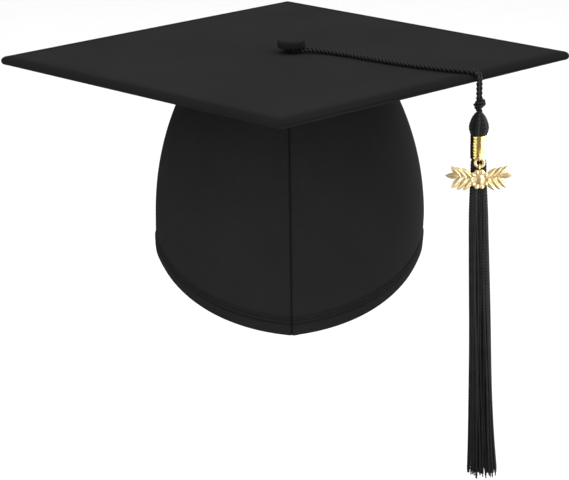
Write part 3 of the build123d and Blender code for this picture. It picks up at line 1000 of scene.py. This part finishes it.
# The wound head's (radius, height) from its neck down into the ferrule
head_profile = np.array([(1.3, 98.3), (1.9, 97.7), (2.45, 97.0), (2.95, 96.4), (3.4, 95.7),
                         (3.85, 95.0), (4.5, 93.7), (5.0, 92.3), (5.45, 91.0), (5.75, 89.8),
                         (5.8, 88.6), (5.6, 87.2), (5.15, 85.9), (4.6, 84.6), (4.2, 83.6),
                         (4.0, 82.0)])


def head():
    """Strands laid side by side over a wound core, from the cord down into the ferrule."""
    count, strand_radius = 25, 0.65
    steps = np.linspace(0, len(head_profile) - 1, 120)
    radius, level = (np.convolve(np.pad(values, 4, "edge"), np.ones(9) / 9, "valid")
                     for values in resampled(head_profile, 120).T)
    strands = []
    for index in range(count):
        wander = rng.uniform(-0.02, 0.02)
        angle = 2 * math.pi * (index + rng.uniform(-0.16, 0.16)) / count + \
            0.3 * (1 - steps / steps[-1]) + wander * np.sin(steps)
        line = np.stack([tassel_x + (radius - strand_radius) * np.cos(angle),
                         tassel_y + (radius - strand_radius) * np.sin(angle), level], 1)
        path, along = evenly(line, 0.25)
        size = np.interp(path[:, 2], level[::-1], (0.3 + 0.46 * smooth_step(radius / 5.0))[::-1])
        strands.append(twisted(path, along, size, 4.4, 12, 0.7, rng.uniform(0, 6.3),
                               tone=rng.uniform(0.2, 1.0)))
    strands_mesh("tassel_head_yarn", strands, yarn_black, "tassel", ("tassel_head",))
    core = np.stack([np.maximum(radius - 0.55, 0.12), level], 1)[::-1][::4]
    lathe("tassel_head_core", core, tassel, yarn_black, "tassel", (), 40)


def rolled_seam(radius, height, angle):
    """The ferrule's joint down one side, and small dents."""
    gap = bell(np.mod(angle - 1.2 + math.pi, 2 * math.pi) - math.pi, 0.03)
    dents = 0.035 * waves(angle * 2 + 0 * height, height * 0.9, 41)
    inward = np.where(radius > 4.5, 0.18 * gap + dents * (radius > 4.6), 0.0)
    return radius - inward, height + 0 * angle


def ferrule_pieces():
    """A ribbed tube with rolled ends."""
    pitch, valley, rib, mouth, bore = 1.75, 4.66, 0.22, 4.3, 4.28
    heights = np.linspace(ferrule_bottom + 0.3, ferrule_top - 0.3, 150)
    wave = np.abs(np.sin((heights - ferrule_bottom) / pitch * math.pi)) ** 0.6
    profile = [(mouth, ferrule_bottom + 0.15), (4.42, ferrule_bottom), (4.6, ferrule_bottom + 0.08)]
    profile += list(zip(valley + rib * wave, heights))
    profile += [(4.6, ferrule_top - 0.08), (4.42, ferrule_top), (mouth, ferrule_top - 0.15),
                (bore, (ferrule_top + ferrule_bottom) / 2), (mouth, ferrule_bottom + 0.15)]
    lathe("ferrule_tube", profile, tassel, gold, "tassel", ("ferrule",), 160, rolled_seam)


def ring_mesh(name, level, loop, wire, spin, material, body, replaces, gap=0.0):
    """A round wire ring on the charm's line; spin turns it about the upright line, and a gap in
    degrees makes it a split ring."""
    centre = np.array((tassel_x, charm_y, level))
    angle = np.radians(60.0 * (gap > 0) + np.linspace(gap / 2, 360 - gap / 2, 97))
    across = np.array((math.cos(spin), math.sin(spin), 0.0))
    outward = np.cos(angle)[:, None] * across + np.sin(angle)[:, None] * (0.0, 0.0, 1.0)
    path = centre + loop * outward
    if gap:
        strand = twisted(path, np.linspace(0, 1, len(path)), wire, 1e9, 16, 20.0)
        return strands_mesh(name, [strand], material, body, replaces)
    side = np.array((-math.sin(spin), math.cos(spin), 0.0))
    around = full_turn(16)[None, :, None]
    points = path[:-1, None] + wire * (np.cos(around) * outward[:-1, None] + np.sin(around) * side)
    quads = grid_quads(len(points), 16, close_rows=True, close_columns=True)
    return build(name, points, quads, material, body, replaces)


charm_y = tassel_y - 7.3


def charm_leaf(base, angle, length, width, rise):
    """One pointed leaf with a raised midrib and a rounded edge; x runs along it, z is its width."""
    depth, rib_height, vein_height, back_depth = 0.483, 0.28, 0.05, 0.4
    u, v = np.linspace(0, 1, 26), np.linspace(-1, 1, 17)
    outline = width / 2 * np.sin(math.pi * u**0.85) ** 0.8
    outline[0], outline[-1] = 0.12, 0.03
    along = np.broadcast_to((u * length)[:, None], (26, 17))
    across = outline[:, None] * v + 0.5 * (u**2)[:, None] * rise
    dome = np.sqrt(np.maximum(1 - v**2, 0))
    rib = rib_height * bell(v, 0.16)
    veins = vein_height * np.cos((u[:, None] * 9 - np.abs(v) * 1.4) * 2 * math.pi)
    body = np.minimum(outline / (width / 2) + 0.2, 1)[:, None]
    front = -(0.1 + depth * dome + rib + veins * dome) * body
    x = base[0] + along * math.cos(angle) - across * math.sin(angle)
    z = base[1] + along * math.sin(angle) + across * math.cos(angle)
    top = np.stack([x, charm_y + front, z], -1)
    bottom = np.stack([x, charm_y + back_depth * dome * body, z], -1)[:, ::-1]
    return np.concatenate([top, bottom[:, 1:-1]], 1)


def rosette(level):
    """A ten-petalled boss in front of the stem, seen along y."""
    petals, sides = 10, 144
    profile = [(0.2, 0.62), (2.0, 0.62), (4.6, 0.6), (5.5, 0.4), (5.7, 0.0), (5.6, -0.4), (5.1, -0.8),
               (4.4, -0.9), (3.7, -0.7), (3.1, -0.45), (2.6, -0.7), (2.1, -1.1), (1.4, -1.4),
               (0.7, -1.5), (0.2, -1.52)]
    radius, depth = (column[:, None] for column in resampled(profile, 90).T)
    angle = full_turn(sides)
    lobes = np.cos(angle * petals)
    crease = 0.22 * lobes * smooth_step((radius - 2.8) / 0.8) * (depth < 0)
    radius = radius * (1 + 0.06 * lobes * smooth_step((radius - 3.0) / 2.0))
    rings = np.stack([tassel_x + radius * np.cos(angle), charm_y + depth - crease,
                      level + radius * np.sin(angle)], -1)
    tubes("charm_rosette", [rings], pale_gold, "charm_spray", ())


def charm_pieces():
    """The laurel spray: pairs of leaves on a bowed stem, a rosette, and the rings it hangs from."""
    level, reach, rise = 60.0, 13.4, 2.4
    spots = [(place, spread, length, 3.8) for place, length in ((3.8, 8.9), (7.1, 9.1), (10.4, 8.7))
             for spread in (-54, 50)]
    leaves = []
    for place, spread, length, width in spots + [(11.4, 8, 8.2, 3.5)]:
        for hand in (1, -1):
            angle = math.radians(spread if hand > 0 else 180 - spread)
            base = (tassel_x + hand * place, level + rise * (place / reach) ** 2)
            leaves.append(charm_leaf(base, angle, length, width, -0.9 * math.copysign(1, spread) * hand))
    x = np.linspace(-reach, reach, 120)
    stem = np.stack([tassel_x + x, np.full(120, charm_y - 0.35), level + rise * (x / reach) ** 2], 1)
    path, along = evenly(stem, 0.25)
    size = 0.72 - 0.25 * (np.abs(path[:, 0] - tassel_x) / reach)
    leaves.append(twisted(path, along, size, 3.4, 14, 0.9)[0])
    tubes("laurel_spray", leaves, pale_gold, "charm_spray", ("charm",))
    rosette(level)
    ring_mesh("charm_bail", 67.3, 1.45, 0.4, math.pi / 2, pale_gold, "charm_spray", ())
    ring_mesh("jump_ring_wire", 69.85, 2.5, 0.9, 0.0, pale_gold, "jump_ring", ("charm_ring",),
              5.0)
    ring_mesh("ferrule_eye_wire", 73.1, 2.2, 0.45, math.pi / 2, gold, "tassel", ("ferrule_eye",))


def share_down(level):
    """How far down the fringe a height lies, from 0 to 1."""
    return np.clip((70.0 - level) / (70.0 - fringe_bottom), 0, 1)


def fringe():
    """Loose twisted strands, packed round, that spread and lean a little towards their ends."""
    spacing, rings, clumps, strand_radius, lean = 1.2, 5, 11, 0.74, 4.3
    spots = []
    for ring in range(rings):
        count = max(1, int(2 * math.pi * ring * spacing / (spacing * 0.97)))
        spots += [(ring * spacing, 2 * math.pi * (index + 0.5 * ring) / count) for index in range(count)]
    tones = rng.uniform(0.1, 1.0, clumps)
    strands = []
    for radius, angle in spots:
        clump = angle / (2 * math.pi) * clumps
        radius = radius * (1 - 0.09 * (1 - abs(math.sin(math.pi * clump))))
        end = fringe_bottom + rng.uniform(0.0, 3.5) + 2.0 * (radius / 5.4) ** 2 * rng.uniform(0, 1)
        level = np.concatenate([np.linspace(72.5, 60, 30), np.linspace(59.5, end, 150)])
        down = share_down(level)
        tight = 0.72 + 0.12 * smooth_step((71.0 - level) / 4.0) + \
            0.16 * smooth_step((68.0 - level) / 34.0)
        spread = radius * tight * (1 + 0.46 * down + 0.34 * down**6) + \
            0.35 * down * rng.uniform(-1, 1)
        wander = rng.uniform(0, 6.3)
        swing = angle + 0.12 * down * rng.uniform(-1, 1) + 0.05 * np.sin(level / 17.0 + wander)
        sway = 0.35 * down * np.sin(level / rng.uniform(22, 34) + wander)
        x = tassel_x + spread * np.cos(swing) + lean * down**1.35 + sway
        y = tassel_y + spread * np.sin(swing) + 0.3 * down * np.cos(level / 25 + wander)
        path, along = evenly(np.stack([x, y, level], 1), 0.34)
        size = strand_radius * (1 - 0.45 * smooth_step((along - along[-1] + 3.5) / 3.5))
        dimmer = 1.3 - 0.7 * share_down(path[:, 2:])
        strands.append(twisted(path, along, size, 3.8, 10, 0.55, rng.uniform(0, 6.3),
                               tone=tones[int(clump) % clumps] * rng.uniform(0.75, 1.0) * dimmer))
    made = strands_mesh("tassel_fringe_yarn", strands, yarn_black, None, ("fringe",))
    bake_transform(made)


knot()
head()
ferrule_pieces()
charm_pieces()
fringe()

# ---- CAD pieces that stay

for node, material in (("board_core", chipboard), ("button_shell", black_tin), ("button_back", black_tin),
                       ("button_post", black_tin), ("button_clip", steel), ("board_grommet", steel)):
    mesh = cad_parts[node].data
    mesh.materials.clear()
    mesh.materials.append(material)
